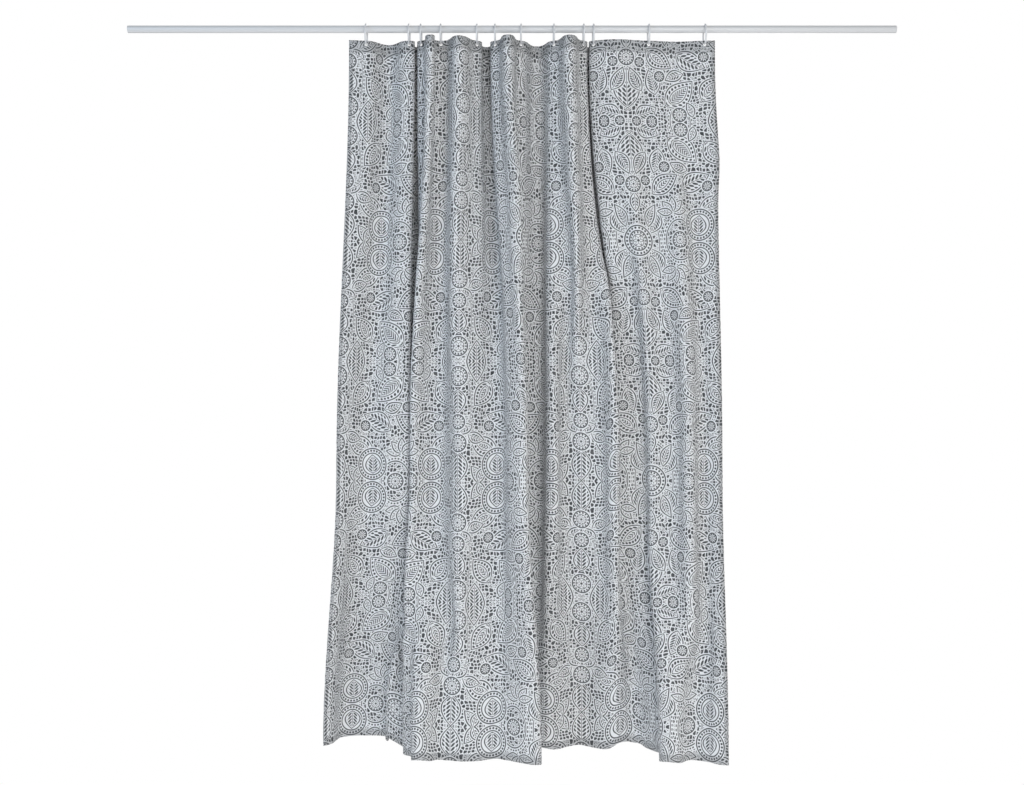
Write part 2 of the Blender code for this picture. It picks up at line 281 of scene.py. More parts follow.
def headings(stretches, along):
    found = np.zeros_like(along)
    for start, end, ends, wave, bow, steepest in stretches:
        inside = (along >= start) & (along <= end)
        share = (along[inside] - start) / (end - start)
        found[inside] = fold_heading(share, ends, wave, bow, steepest)
    return found


def soften(heading, width):
    """The headings averaged over `width` of cloth, so that a fold line turns in a curve."""
    window = np.hanning(round(width / FINE_STEP) + 2)[1:-1]
    half = len(window) // 2
    before = np.full(half, heading[0])
    after = np.full(len(window) - 1 - half, heading[-1])
    padded = np.concatenate([before, heading, after])
    return np.convolve(padded, window / window.sum(), "valid")


def ease(value):
    """0 below 0, 1 above 1, and a smooth step between them."""
    value = np.clip(value, 0.0, 1.0)
    return value * value * (3 - 2 * value)


def traced(heading, start):
    """The points of a line with these headings, one each FINE_STEP."""
    steps = np.stack([np.cos(heading), np.sin(heading)], axis=1) * FINE_STEP
    return start + np.concatenate([np.zeros((1, 2)), np.cumsum(steps, axis=0)])


def line_between(high, low, share):
    return (1 - share) * high + share * low


def row_line(heading, steepest, knots, places):
    """A row of the cloth, its headings changed a little between knots so that it passes its places."""
    fitted = heading.copy()
    here = places[0]
    for first, last, there in zip(knots, knots[1:], places[1:]):
        part = heading[first:last]
        hump = np.sin(math.pi * (np.arange(last - first) + 0.5) / (last - first))
        wanted = (there - here) / ((last - first) * FINE_STEP)

        def bent(scale, bow):
            return np.clip(part + hump * (scale * part + bow), -steepest, steepest)

        def reach(scale, bow):
            found = bent(scale, bow)
            return np.array([np.cos(found).mean(), np.sin(found).mean()])

        fitted[first:last] = bent(*solve_two(reach, wanted, (0.0, 0.0), FIT_STIFFNESS))
        here = traced(fitted[first:last], here)[-1]
    return traced(fitted, places[0])


def cloth_surface():
    """The sheet's points, one row for each of ROWS + 1 heights and one column for each FINE_STEP."""
    middles = (np.arange(round(CLOTH_WIDTH / FINE_STEP)) + 0.5) * FINE_STEP
    first_x, first_turn = RING_PLACES[0]
    first_turn = math.radians(first_turn)
    to_first_eyelet = FIRST_EYELET * np.array([math.cos(first_turn), math.sin(first_turn)])
    corner = np.array([first_x, 0.0]) - to_first_eyelet
    top = headings(top_line(), middles)
    middle = headings(line_through(MIDDLE_LINE), middles)
    bottom = headings(line_through(BOTTOM_LINE), middles)
    lines = (
        traced(top, corner),
        traced(middle, MIDDLE_LINE[0][1:3]),
        traced(bottom, BOTTOM_LINE[0][1:3]),
    )
    middle = soften(middle, FOLD_SOFTNESS)
    bottom = soften(bottom, FOLD_SOFTNESS)
    knots = [round(along / FINE_STEP) for along in (0.0, *eyelet_places(), CLOTH_WIDTH)]
    rows = []
    downs = np.linspace(0, CLOTH_DROP, ROWS + 1)
    for down in downs:
        upper = ease((down - TOP_HEM) / (MIDDLE_DOWN - TOP_HEM))
        lower = ease((down - MIDDLE_DOWN) / (CLOTH_DROP - MIDDLE_DOWN))
        heading = line_between(top, line_between(middle, bottom, lower), upper)
        places = line_between(lines[0], line_between(lines[1], lines[2], lower), upper)[knots]
        steepest = line_between(STEEPEST_AT_RINGS, STEEPEST_BELOW, upper)
        rows.append(row_line(heading, steepest, knots, places))
    rows = np.array(rows)
    # a thread that hangs aslant keeps its length, so it reaches less far down
    step = downs[1]
    aside = np.diff(rows, axis=0)
    fall = np.sqrt(np.maximum(step**2 - (aside**2).sum(axis=2), 0.0))
    z = CLOTH_TOP_Z - np.concatenate([np.zeros((1, rows.shape[1])), np.cumsum(fall, axis=0)])
    return np.concatenate([rows, z[..., None]], axis=2)


def sample(field, along, down):
    """The field's value at flat places on the cloth, between its points."""
    column = np.clip(along / FINE_STEP, 0, field.shape[1] - 1.001)
    row = np.clip(down / CLOTH_DROP * ROWS, 0, ROWS - 0.001)
    i, j = row.astype(int), column.astype(int)
    u, v = (row - i)[..., None], (column - j)[..., None]
    above = field[i, j] * (1 - v) + field[i, j + 1] * v
    below = field[i + 1, j] * (1 - v) + field[i + 1, j + 1] * v
    return above * (1 - u) + below * u


def unit(vectors):
    return vectors / np.linalg.norm(vectors, axis=-1, keepdims=True)


SURFACE = cloth_surface()
NORMALS = unit(np.cross(np.gradient(SURFACE, axis=1), np.gradient(SURFACE, axis=0)))


def smooth_noise(along, down, across, length, seed):
    """Noise from -1 to 1 with features `across` wide and `length` tall on the flat cloth."""
    flat = np.stack([along.ravel() / across, down.ravel() / length], axis=1)
    values = [noise.noise(Vector((a, d, seed))) for a, d in flat]
    return np.array(values).reshape(along.shape)


def wrinkle(along, down, kind):
    height, across, length, seed = kind
    return height * smooth_noise(along, down, across, length, seed)


def wrinkles(along, down):
    """How far the cloth stands behind its plain surface."""
    from_side = np.minimum(along, CLOTH_WIDTH - along)
    from_bottom = CLOTH_DROP - down
    everywhere = sum(wrinkle(along, down, kind) for kind in (SOFT_WAVES, RIPPLES, CREASES))
    at_sides = np.exp(-from_side / SIDE_PUCKERS_REACH) * wrinkle(along, down, SIDE_PUCKERS)
    at_bottom = np.exp(-from_bottom / BOTTOM_PUCKERS_REACH) * wrinkle(along, down, BOTTOM_PUCKERS)
    kept_at_rings = ease((down - WRINKLES_START) / WRINKLES_GROW)
    return kept_at_rings * (everywhere + at_sides + at_bottom)


def cloth_points(alongs, downs, offset):
    """The grid of points over part of the cloth, `offset` behind its middle layer."""
    along, down = np.meshgrid(alongs, downs)
    behind = wrinkles(along, down) + offset
    return sample(SURFACE, along, down) + behind[..., None] * sample(NORMALS, along, down)


# ---------------------------------------------------------------- making objects


def add_object(name, mesh, *materials):
    thing = bpy.data.objects.new(name, mesh)
    bpy.context.scene.collection.objects.link(thing)
    for material in materials:
        mesh.materials.append(material)
    mesh.shade_smooth()
    return thing


def apply_modifiers(thing):
    with bpy.context.temp_override(object=thing, active_object=thing, selected_objects=[thing]):
        for modifier in list(thing.modifiers):
            bpy.ops.object.modifier_apply(modifier=modifier.name)


def sheet(name, alongs, downs, offset, thickness, flat_place, materials):
    """A closed sheet of cloth. flat_place turns (along, down) into the place of the print that shows there.

    Of two materials, the first is for the side that looks to the back.
    """
    points = cloth_points(alongs, downs, offset)
    columns = len(alongs)
    faces = [
        (r * columns + c, r * columns + c + 1, (r + 1) * columns + c + 1, (r + 1) * columns + c)
        for r in range(len(downs) - 1)
        for c in range(columns - 1)
    ]
    mesh = bpy.data.meshes.new(name)
    mesh.from_pydata(points.reshape(-1, 3), [], faces)
    mesh.update()
    along, down = np.meshgrid(alongs, downs)
    flat = np.stack(flat_place(along, down), axis=-1).reshape(-1, 2)
    corners = np.zeros(len(mesh.loops), int)
    mesh.loops.foreach_get("vertex_index", corners)
    layer = mesh.uv_layers.new(name="flat_cloth")
    layer.data.foreach_set("uv", flat[corners].ravel())
    thing = add_object(name, mesh, *materials)
    thick = thing.modifiers.new("thickness", "SOLIDIFY")
    thick.thickness = thickness
    thick.offset = 0.0
    thick.use_even_offset = True
    thick.material_offset = len(materials) - 1
    apply_modifiers(thing)
    return thing


def turned(name, profile, steps, material):
    """A closed profile of (radius, height) points turned about the object's Z axis."""
    mesh = bpy.data.meshes.new(name)
    count = len(profile)
    edges = [(i, (i + 1) % count) for i in range(count)]
    mesh.from_pydata([(radius, 0.0, height) for radius, height in profile], edges, [])
    thing = add_object(name, mesh, material)
    screw = thing.modifiers.new("turn", "SCREW")
    screw.angle = 2 * math.pi
    screw.steps = steps
    screw.render_steps = steps
    screw.use_merge_vertices = True
    screw.merge_threshold = 0.00001
    apply_modifiers(thing)
    return thing


def rounded(corners, radius, steps):
    """The closed profile with each corner cut round."""
    outline = []
    count = len(corners)
    for i in range(count):
        before, corner, after = (np.array(corners[(i + k) % count]) for k in (-1, 0, 1))
        start = corner + unit(before - corner) * radius
        end = corner + unit(after - corner) * radius
        for k in range(steps + 1):
            t = k / steps
            outline.append(tuple((1 - t) ** 2 * start + 2 * t * (1 - t) * corner + t * t * end))
    return outline


# ---------------------------------------------------------------- node arithmetic

# The tree that new arithmetic goes into
drawing = {"tree": None}


class Term:
    """One number in a node tree, so that a shape can be written as ordinary arithmetic."""

    def __init__(self, socket):
        self.socket = socket

    def __add__(self, other):
        return calc("ADD", self, other)

    def __radd__(self, other):
        return calc("ADD", other, self)

    def __sub__(self, other):
        return calc("SUBTRACT", self, other)

    def __rsub__(self, other):
        return calc("SUBTRACT", other, self)

    def __mul__(self, other):
        return calc("MULTIPLY", self, other)

    def __rmul__(self, other):
        return calc("MULTIPLY", other, self)

    def __truediv__(self, other):
        return calc("DIVIDE", self, other)

    def __neg__(self):
        return calc("MULTIPLY", self, -1.0)


def plug(socket, value):
    """A Term or a socket is linked, and a number is set."""
    if isinstance(value, Term):
        value = value.socket
    if isinstance(value, bpy.types.NodeSocket):
        drawing["tree"].links.new(value, socket)
    else:
        socket.default_value = value


def new_node(kind):
    return drawing["tree"].nodes.new(kind)


def calc(operation, *values):
    made = new_node("ShaderNodeMath")
    made.operation = operation
    for socket, value in zip(made.inputs, values):
        plug(socket, value)
    return Term(made.outputs[0])


def vector_math(operation, *values):
    made = new_node("ShaderNodeVectorMath")
    made.operation = operation
    for socket, value in zip(made.inputs, values):
        plug(socket, value)
    return made.outputs[0]


def parts_of(vector):
    split = new_node("ShaderNodeSeparateXYZ")
    plug(split.inputs[0], vector)
    return [Term(socket) for socket in split.outputs]


def clamped(value):
    """The value kept between 0 and 1."""
    made = new_node("ShaderNodeClamp")
    plug(made.inputs["Value"], value)
    return Term(made.outputs[0])


def noise_texture(vector, scale, detail, dimensions="3D"):
    made = new_node("ShaderNodeTexNoise")
    made.noise_dimensions = dimensions
    made.inputs["Scale"].default_value = scale
    made.inputs["Detail"].default_value = detail
    plug(made.inputs["Vector"], vector)
    return made


def size_of(value):
    return calc("ABSOLUTE", value)


def larger(*values):
    found = values[0]
    for value in values[1:]:
        found = calc("MAXIMUM", found, value)
    return found


def smaller(*values):
    found = values[0]
    for value in values[1:]:
        found = calc("MINIMUM", found, value)
    return found


# Every shape in the print is a distance in centimetres: below 0 there is ink.


def stroke(distance, width):
    """A line of this width along a shape's edge."""
    return size_of(distance) - width / 2


def bead(across, half_width, up, half_height):
    """A round or oval seed."""
    x, y = across / half_width, up / half_height
    return (calc("SQRT", x * x + y * y) - 1) * min(half_width, half_height)


def over(under, ink, outline):
    """The ink of a motif, on what is there outside the motif's outline."""
    return smaller(ink, larger(under, -outline))


def new_group(name, inputs, vector_inputs=()):
    """A node group with number inputs and one number output, and the Terms of its inputs."""
    tree = bpy.data.node_groups.new(name, "ShaderNodeTree")
    for label in vector_inputs:
        tree.interface.new_socket(label, in_out="INPUT", socket_type="NodeSocketVector")
    for label in inputs:
        tree.interface.new_socket(label, in_out="INPUT", socket_type="NodeSocketFloat")
    tree.interface.new_socket("Ink", in_out="OUTPUT", socket_type="NodeSocketFloat")
    drawing["tree"] = tree
    entry = tree.nodes.new("NodeGroupInput")
    return tree, {label: Term(entry.outputs[label]) for label in (*vector_inputs, *inputs)}


def end_group(tree, ink):
    leave = tree.nodes.new("NodeGroupOutput")
    plug(leave.inputs["Ink"], ink)


def own_place(given, *more):
    """A place measured from the motif's own place, along and across it."""
    mapping = new_node("ShaderNodeMapping")
    mapping.vector_type = "TEXTURE"
    for label, source in (("Vector", "Position"), ("Location", "Place"), *more):
        plug(mapping.inputs[label], given[source])
    x, y, _ = parts_of(mapping.outputs[0])
    return x, y


def leaf_place(given):
    """How far along a leaf, how far from its midrib, and how far outside its edge."""
    u, v = own_place(given, ("Rotation", "Turn"))
    length = given["Length"]
    share = u / length
    belly = share * (1 - share) * 4
    aside = size_of(v - given["Bend"] * belly)
    beside = aside - given["Width"] * belly * (0.62 - 0.22 * share)
    return u, aside, larger(beside, size_of(u - length / 2) - length / 2)


def round_place(given):
    """A place in an oval motif, stretched to a circle: x, y and how far it is from the middle."""
    x, y = own_place(given, ("Scale", "Stretch"))
    return x, y, calc("SQRT", x * x + y * y)


# ---------------------------------------------------------------- the print's motifs, in centimetres

# The width of a motif's line, and the pale border round a motif
LINE = 0.34
CLEAR = 0.30
SEED_LENGTH = 1.3
# The seeds of the ground, half the width of the pale paths between them, and how far they sway
CELLS_PER_CM = 1.0
CELLS_UNEVEN = 0.62
PATH = 0.13
SWAY = 1.3
SWAY_SCALE = 0.3
# The share of the seeds that are solid, and the place and half width of the pale ring in the others
SOLID_SEEDS = 0.7
SEED_RING = 0.26
SEED_RING_HALF = 0.10
# How sharp the print's edges are, per centimetre
EDGE = 14.0


def leaf_group():
    """A pointed leaf: a line round it, a midrib and rows of seeds that lean forward."""
    tree, given = new_group(
        "print_leaf", ("Under", "Length", "Width", "Bend", "Seeds"), ("Position", "Place", "Turn")
    )
    u, aside, distance = leaf_place(given)
    edge = stroke(distance + LINE / 2, LINE)
    beat = calc("FRACT", (u - aside * 0.9) / given["Seeds"]) - 0.5
    rank = calc("FRACT", (aside - 0.12) / SEED_LENGTH) - 0.5
    inner = smaller(bead(beat, 0.35, rank, 0.44), aside - 0.08)
    ink = smaller(edge, larger(inner, distance + LINE + CLEAR))
    end_group(tree, over(given["Under"], ink, distance - CLEAR))
    return tree


def double_leaf_group():
    """A leaf whose outer band holds seeds, round a smaller outlined leaf with slanting veins."""
    tree, given = new_group(
        "print_double_leaf", ("Under", "Length", "Width", "Bend", "Seeds"), ("Position", "Place", "Turn")
    )
    u, aside, distance = leaf_place(given)
    edge = stroke(distance + LINE / 2, LINE)
    beat = calc("FRACT", (u - aside * 0.35) / given["Seeds"]) - 0.5
    seeds = bead(beat * given["Seeds"], 0.37, distance + 0.98, 0.36)
    inner = distance + 1.72
    veins = size_of(calc("FRACT", (u - aside * 1.1) / 0.8) - 0.5) * 0.8 - 0.2
    ink = smaller(edge, seeds, stroke(inner, 0.24), larger(veins, inner + 0.4))
    end_group(tree, over(given["Under"], ink, distance - CLEAR))
    return tree


def wheel_group():
    """A round or oval medallion: a line round it, a ring of dots, an open flower and a centre dot."""
    tree, given = new_group(
        "print_wheel", ("Under", "Radius", "Dots", "Petals"), ("Position", "Place", "Stretch")
    )
    x, y, reach = round_place(given)
    angle = calc("ARCTAN2", y, x)
    radius = given["Radius"]
    edge = stroke(reach - radius + LINE / 2, LINE)
    beat = calc("FRACT", angle * given["Dots"] / (2 * math.pi) + 0.5) - 0.5
    dots_at = radius * 0.91 - 0.38
    spread = beat * dots_at * (2 * math.pi) / given["Dots"]
    dot_radius = radius * 0.03 + 0.17
    out = reach - dots_at
    dots = calc("SQRT", spread * spread + out * out) - dot_radius
    hoop = size_of(reach - radius * 0.83 + 0.72) - radius * 0.035
    petal = radius * (0.36 + 0.13 * calc("COSINE", angle * given["Petals"]))
    flower = size_of(reach - petal) - radius * 0.045
    heart = reach - radius * 0.13
    ink = smaller(edge, dots, hoop, flower, heart)
    end_group(tree, over(given["Under"], ink, reach - radius - CLEAR))
    return tree


def hoop_group():
    """An oval frame: a line with beads outside it, clear on both sides."""
    tree, given = new_group("print_hoop", ("Under", "Radius", "Dots"), ("Position", "Place", "Stretch"))
    x, y, reach = round_place(given)
    off = reach - given["Radius"]
    line = stroke(off, LINE)
    beat = size_of(calc("FRACT", calc("ARCTAN2", y, x) * given["Dots"] / (2 * math.pi)) - 0.5)
    beads = larger(size_of(off - 0.72) - 0.22, beat * 2.4 - 0.7)
    end_group(tree, over(given["Under"], smaller(line, beads), size_of(off - 0.4) - 0.85))
    return tree


def cells(position, feature):
    made = new_node("ShaderNodeTexVoronoi")
    made.voronoi_dimensions = "2D"
    made.feature = feature
    made.inputs["Scale"].default_value = CELLS_PER_CM
    made.inputs["Randomness"].default_value = CELLS_UNEVEN
    plug(made.inputs["Vector"], position)
    return made


def filling(position):
    """The ground between the motifs: dark seeds of every outline, packed with pale paths between them."""
    drift = noise_texture(position, SWAY_SCALE, 0.0, "2D").outputs["Color"]
    sway = vector_math("SUBTRACT", drift, (0.5, 0.5, 0.5))
    swayed = vector_math("MULTIPLY_ADD", sway, (SWAY, SWAY, 0.0), position)
    nearest = cells(swayed, "F1")
    from_wall = Term(cells(swayed, "DISTANCE_TO_EDGE").outputs["Distance"]) / CELLS_PER_CM
    kind = parts_of(nearest.outputs["Color"])[0]
    reach = Term(nearest.outputs["Distance"]) / CELLS_PER_CM
    stone = PATH - from_wall
    ringed = larger(stone, SEED_RING_HALF - size_of(reach - SEED_RING))
    return stone + (ringed - stone) * calc("GREATER_THAN", kind, SOLID_SEEDS)


# The print mirrors itself at these steps along and down the cloth. X below is measured from the axis of the
# wheels, and Y from the row of the tall ovals, which is this far down the cloth the first time.
REPEAT_ALONG = 31.0
REPEAT_DOWN = 33.25
FIRST_ROW_DOWN = 22.4

# (kind, X, Y, degrees, length, width, bend, seed pitch)
LEAVES = (
    ("leaf", 28.9, 1.5, 158, 6.6, 5.0, 0.5, 0.9),
    ("leaf", 31.0, 3.4, 90, 12.2, 7.4, 0.0, 1.25),
    ("leaf", 31.0, 19.9, 90, 5.6, 3.0, 0.0, 0.9),
    ("leaf", 26.6, 8.4, 62, 7.4, 3.6, -0.4, 0.8),
    ("leaf", 22.9, 7.4, 75, 7.2, 4.2, 0.3, 0.75),
    ("double", 25.4, 20.2, -144, 9.0, 5.2, 0.4, 0.95),
    ("double", 20.3, 4.4, 139, 10.6, 6.6, 0.4, 1.15),
    ("leaf", 5.4, -5.9, 90, 11.8, 6.2, 0.0, 0.95),
    ("double", 9.8, 5.4, 126, 8.6, 5.4, -0.3, 1.0),
    ("leaf", 17.0, 19.2, -152, 9.4, 5.4, 0.5, 1.2),
    ("double", 11.6, 24.6, -158, 8.8, 5.4, -0.4, 1.1),
    ("leaf", 0.0, 7.6, 90, 6.8, 4.6, 0.0, 1.0),
    ("leaf", 0.0, 24.8, 90, 8.6, 5.6, 0.0, 1.1),
    ("leaf", 6.3, 33.6, -118, 5.6, 3.0, 0.6, 0.85),
    ("leaf", 6.1, 33.6, -62, 5.2, 2.6, -0.5, 0.85),
    ("leaf", 24.6, 24.4, 66, 7.6, 4.0, 0.9, 0.85),
    ("leaf", 27.4, 29.4, -112, 7.0, 3.0, 0.6, 0.8),
    ("leaf", 2.8, 19.8, 20, 5.4, 3.2, 0.4, 0.8),
    ("leaf", 12.6, 1.2, 70, 4.6, 2.4, 0.3, 0.8),
    ("leaf", 14.8, 13.4, -20, 5.6, 3.2, 0.4, 0.8),
    ("leaf", 4.2, 17.6, 150, 5.0, 3.0, 0.4, 0.9),
)
# (X, Y, radius, dots, petals, stretch across)
WHEELS = (
    (28.6, 0.0, 1.35, 8, 5, 1.0),
    (31.0, 17.6, 2.3, 14, 6, 1.0),
    (27.2, 16.4, 1.4, 8, 5, 1.0),
    (31.0, 33.25, 4.3, 22, 8, 1.06),
    (16.2, 2.1, 2.0, 12, 6, 1.0),
    (0.0, 4.1, 2.75, 16, 6, 1.0),
    (0.0, 16.6, 2.1, 12, 6, 1.0),
    (11.4, 28.6, 4.5, 26, 4, 0.96),
    (18.2, 33.25, 2.3, 14, 8, 1.0),
    (0.0, 22.4, 2.5, 14, 10, 1.0),
    (21.6, 12.6, 1.5, 10, 5, 1.0),
    (9.2, 17.9, 1.5, 10, 5, 1.0),
    (24.2, 0.2, 1.5, 10, 5, 1.0),
    (31.0, 33.25, 2.9, 16, 6, 1.06),
)
# (X, Y, radius, dots, stretch across)
HOOPS = (
    (31.0, 33.25, 10.6, 64, 0.62),
    (18.2, 33.25, 5.6, 34, 0.74),
    (16.2, 0.0, 4.4, 30, 0.64),
    (0.0, 12.0, 9.6, 60, 0.40),
)
# A spray of five leaves from one stalk, in degrees
SPRAY_PLACE = (20.0, 25.6)
SPRAY_TURNS = (-170, -130, -90, -50, -10)
SPRAY_LEAF = (4.6, 2.3, 0.0, 0.8)
# A leaf inside one of the wheels, so it is drawn last
INNER_LEAF = (11.5, 31.3, -92, 5.4, 4.5, 0.2, 0.9)


def use_group(group, **values):
    made = new_node("ShaderNodeGroup")
    made.node_tree = group
    for label, value in values.items():
        plug(made.inputs[label], value)
    return Term(made.outputs["Ink"])


def draw_leaf(group, under, position, x, y, turn, length, width, bend, seeds):
    return use_group(
        group,
        Under=under,
        Position=position,
        Place=(x, y, 0.0),
        Turn=(0.0, 0.0, math.radians(turn)),
        Length=length,
        Width=width,
        Bend=bend,
        Seeds=seeds,
    )


def print_group():
    """The whole print: how much ink there is at a place on the flat cloth, given in metres."""
    leaves = {"leaf": leaf_group(), "double": double_leaf_group()}
    wheel, hoop = wheel_group(), hoop_group()
    tree, given = new_group("leaf_and_medallion_print", (), ("Flat",))
    along, down, _ = parts_of(given["Flat"])
    x = calc("PINGPONG", along * 100, REPEAT_ALONG)
    y = calc("PINGPONG", down * 100 - FIRST_ROW_DOWN, REPEAT_DOWN)
    join = new_node("ShaderNodeCombineXYZ")
    plug(join.inputs[0], x)
    plug(join.inputs[1], y)
    position = Term(join.outputs[0])
    ink = filling(position)
    for hx, hy, radius, dots, stretch in HOOPS:
        ink = use_group(
            hoop,
            Under=ink,
            Position=position,
            Place=(hx, hy, 0.0),
            Stretch=(stretch, 1.0, 1.0),
            Radius=radius,
            Dots=dots,
        )
    for kind, *shape in LEAVES:
        ink = draw_leaf(leaves[kind], ink, position, *shape)
    for wx, wy, radius, dots, petals, stretch in WHEELS:
        ink = use_group(
            wheel,
            Under=ink,
            Position=position,
            Place=(wx, wy, 0.0),
            Stretch=(stretch, 1.0, 1.0),
            Radius=radius,
            Dots=dots,
            Petals=petals,
        )
    for turn in SPRAY_TURNS:
        ink = draw_leaf(leaves["leaf"], ink, position, *SPRAY_PLACE, turn, *SPRAY_LEAF)
    ink = draw_leaf(leaves["leaf"], ink, position, *INNER_LEAF)
    end_group(tree, clamped(0.5 - ink * EDGE))
    return tree


# ---------------------------------------------------------------- materials


def new_material(name, roughness):
    made = bpy.data.materials.new(name)
    made.use_nodes = True
    shader = made.node_tree.nodes["Principled BSDF"]
    shader.inputs["Roughness"].default_value = roughness
    drawing["tree"] = made.node_tree
    return made, shader


def mix_colour(factor, first, second):
    made = new_node("ShaderNodeMix")
    made.data_type = "RGBA"
    plug(made.inputs["Factor"], factor)
    for label, colour in (("A", first), ("B", second)):
        socket = [s for s in made.inputs if s.name == label and s.type == "RGBA"][0]
        plug(socket, (*colour, 1.0) if isinstance(colour, tuple) else colour)
    return [s for s in made.outputs if s.type == "RGBA"][0]


def bump(shader, height, distance):
    made = new_node("ShaderNodeBump")
    made.inputs["Strength"].default_value = 1.0
    made.inputs["Distance"].default_value = distance
    plug(made.inputs["Height"], height)
    plug(shader.inputs["Normal"], made.outputs[0])


GROUND = (0.785, 0.80, 0.822)
INK = (0.044, 0.048, 0.053)
GROUND_DARKEST = 0.96
THREADS_PER_METRE = 2200
THREAD_DEPTH = 0.00012
SLUB_SCALE = 60.0
# The thinnest ink, and how much more there is where it is thickest
INK_LEAST = 0.86
INK_SPREAD = 0.28
# How sharp a hem's edge is, per metre, and how much painted shade darkens the cloth towards the ink where
# it lies double: it stands in for the turned layer's ink showing through against the light
HEM_EDGE = 1000.0
HEM_PAINTED_SHADE = 0.34
# The unevenness of plastic, paint and thread
SPECKLE_SCALE = 180.0
SPECKLE_DEPTH = 0.00004
SPECKLE_GLOSS = 0.10


def in_a_hem(along, down):
    """1 where the cloth is turned over and lies double, 0 elsewhere: the mask of the hems' painted shade.
    """
    inside = larger(
        TOP_HEM - down,
        SIDE_HEM - along,
        along - (CLOTH_WIDTH - SIDE_HEM),
        down - (CLOTH_DROP - BOTTOM_HEM),
    )
    return clamped(inside * HEM_EDGE + 0.5)


def cloth_material(name, print_tree, strength):
    """Woven cloth with the print in it. strength is how dark the ink shows: less on the back."""
    made, shader = new_material(name, 0.82)
    flat = new_node("ShaderNodeUVMap")
    flat.uv_map = "flat_cloth"
    along, down, _ = parts_of(flat.outputs[0])
    ink = use_group(print_tree, Flat=flat.outputs[0])
    warp = calc("SINE", along * (THREADS_PER_METRE * math.pi))
    weft = calc("SINE", down * (THREADS_PER_METRE * math.pi))
    weave = warp * weft
    cloudy = Term(noise_texture(flat.outputs[0], SLUB_SCALE, 3.0).outputs["Fac"])
    taken = ink * (strength * (INK_LEAST + INK_SPREAD * cloudy))
    # painted shade: the hems darkened towards the ink, for the light held back where the cloth lies double
    double = in_a_hem(along, down) * HEM_PAINTED_SHADE
    paper = mix_colour(cloudy, tuple(c * GROUND_DARKEST for c in GROUND), GROUND)
    paper = mix_colour(double, paper, INK)
    plug(shader.inputs["Base Color"], mix_colour(taken, paper, INK))
    shader.inputs["Sheen Weight"].default_value = 0.12
    shader.inputs["Sheen Roughness"].default_value = 0.5
    shader.inputs["Specular IOR Level"].default_value = 0.25
    bump(shader, weave * 0.5 + 0.5, THREAD_DEPTH)
    return made


def plain_material(name, colour, roughness, coat=0.0, grain=0.03):
    """Moulded plastic, paint or thread: a little unevenness in its colour and its gloss."""
    made, shader = new_material(name, roughness)
    place = new_node("ShaderNodeTexCoord")
    mottle = Term(noise_texture(place.outputs["Object"], SPECKLE_SCALE, 2.0).outputs["Fac"])
    darker = tuple(c * (1 - grain) for c in colour)
    plug(shader.inputs["Base Color"], mix_colour(mottle, darker, colour))
    gloss = calc("MULTIPLY_ADD", mottle, SPECKLE_GLOSS, roughness - SPECKLE_GLOSS / 2)
    plug(shader.inputs["Roughness"], gloss)
    shader.inputs["Coat Weight"].default_value = coat
    bump(shader, mottle, SPECKLE_DEPTH)
    return made


# ---------------------------------------------------------------- the pieces


def make_rod(material):
    """The tube with its two ends eased, in place of the CAD tube's flat sides."""
    low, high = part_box("rod")
    half = (high[0] - low[0]) / 2
    outer = (high[2] - low[2]) / 2
    inner = outer - ROD_WALL
    corners = [(outer, half), (outer, -half), (inner, -half), (inner, half)]
    rod = turned("rod_tube", rounded(corners, ROD_CORNER, CORNER_STEPS), ROD_STEPS, material)
    rod.rotation_euler = (0.0, math.pi / 2, 0.0)
    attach(rod, "rod")
    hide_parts("rod")


def eyelet_seat(number):
    """An eyelet's centre on the cloth, and how far the cloth is turned there."""
    along = np.array([eyelet_places()[number]])
    down = np.array([EYELET_BELOW_EDGE])
    centre = sample(SURFACE, along, down)[0]
    reach = sample(SURFACE, along + EYELET_HOLE_RADIUS, down)[0] - centre
    return centre, math.atan2(reach[1], reach[0])


def make_ring(number, material):
    name = f"ring_{number:02d}"
    low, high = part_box(name)
    centre = [(a + b) / 2 for a, b in zip(low, high)]
    bpy.ops.mesh.primitive_torus_add(
        major_radius=RING_OUTER_RADIUS - RING_WIRE_RADIUS,
        minor_radius=RING_WIRE_RADIUS,
        major_segments=RING_STEPS,
        minor_segments=RING_WIRE_STEPS,
        location=centre,
        rotation=(0.0, math.pi / 2, 0.0),
    )
    ring = bpy.context.object
    ring.name = f"curtain_ring_{number:02d}"
    ring.data.shade_smooth()
    ring.data.materials.append(material)
    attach(ring, name)
    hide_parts(name)


def make_eyelet(number, material):
    """A pressed eyelet with soft edges: its barrel goes through the cloth and the hem."""
    front = -(CLOTH_THICKNESS / 2 + GAP)
    back = HEM_OFFSET + HEM_THICKNESS / 2 + GAP
    corners = [
        (EYELET_FLANGE_RADIUS, back + FLANGE_THICKNESS),
        (EYELET_FLANGE_RADIUS, back),
        (EYELET_BARREL_RADIUS, back),
        (EYELET_BARREL_RADIUS, front),
        (EYELET_FLANGE_RADIUS, front),
        (EYELET_FLANGE_RADIUS, front - FLANGE_THICKNESS),
        (EYELET_HOLE_RADIUS, front - FLANGE_THICKNESS),
        (EYELET_HOLE_RADIUS, back + FLANGE_THICKNESS),
    ]
    centre, turn = eyelet_seat(number - 1)
    profile = rounded(corners, EYELET_CORNER, CORNER_STEPS)
    eyelet = turned(f"pressed_eyelet_{number:02d}", profile, EYELET_STEPS, material)
    eyelet.location = centre
    eyelet.rotation_euler = (-math.pi / 2, 0.0, turn)
    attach(eyelet, f"ring_{number:02d}")
    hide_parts(f"eyelet_{number:02d}")


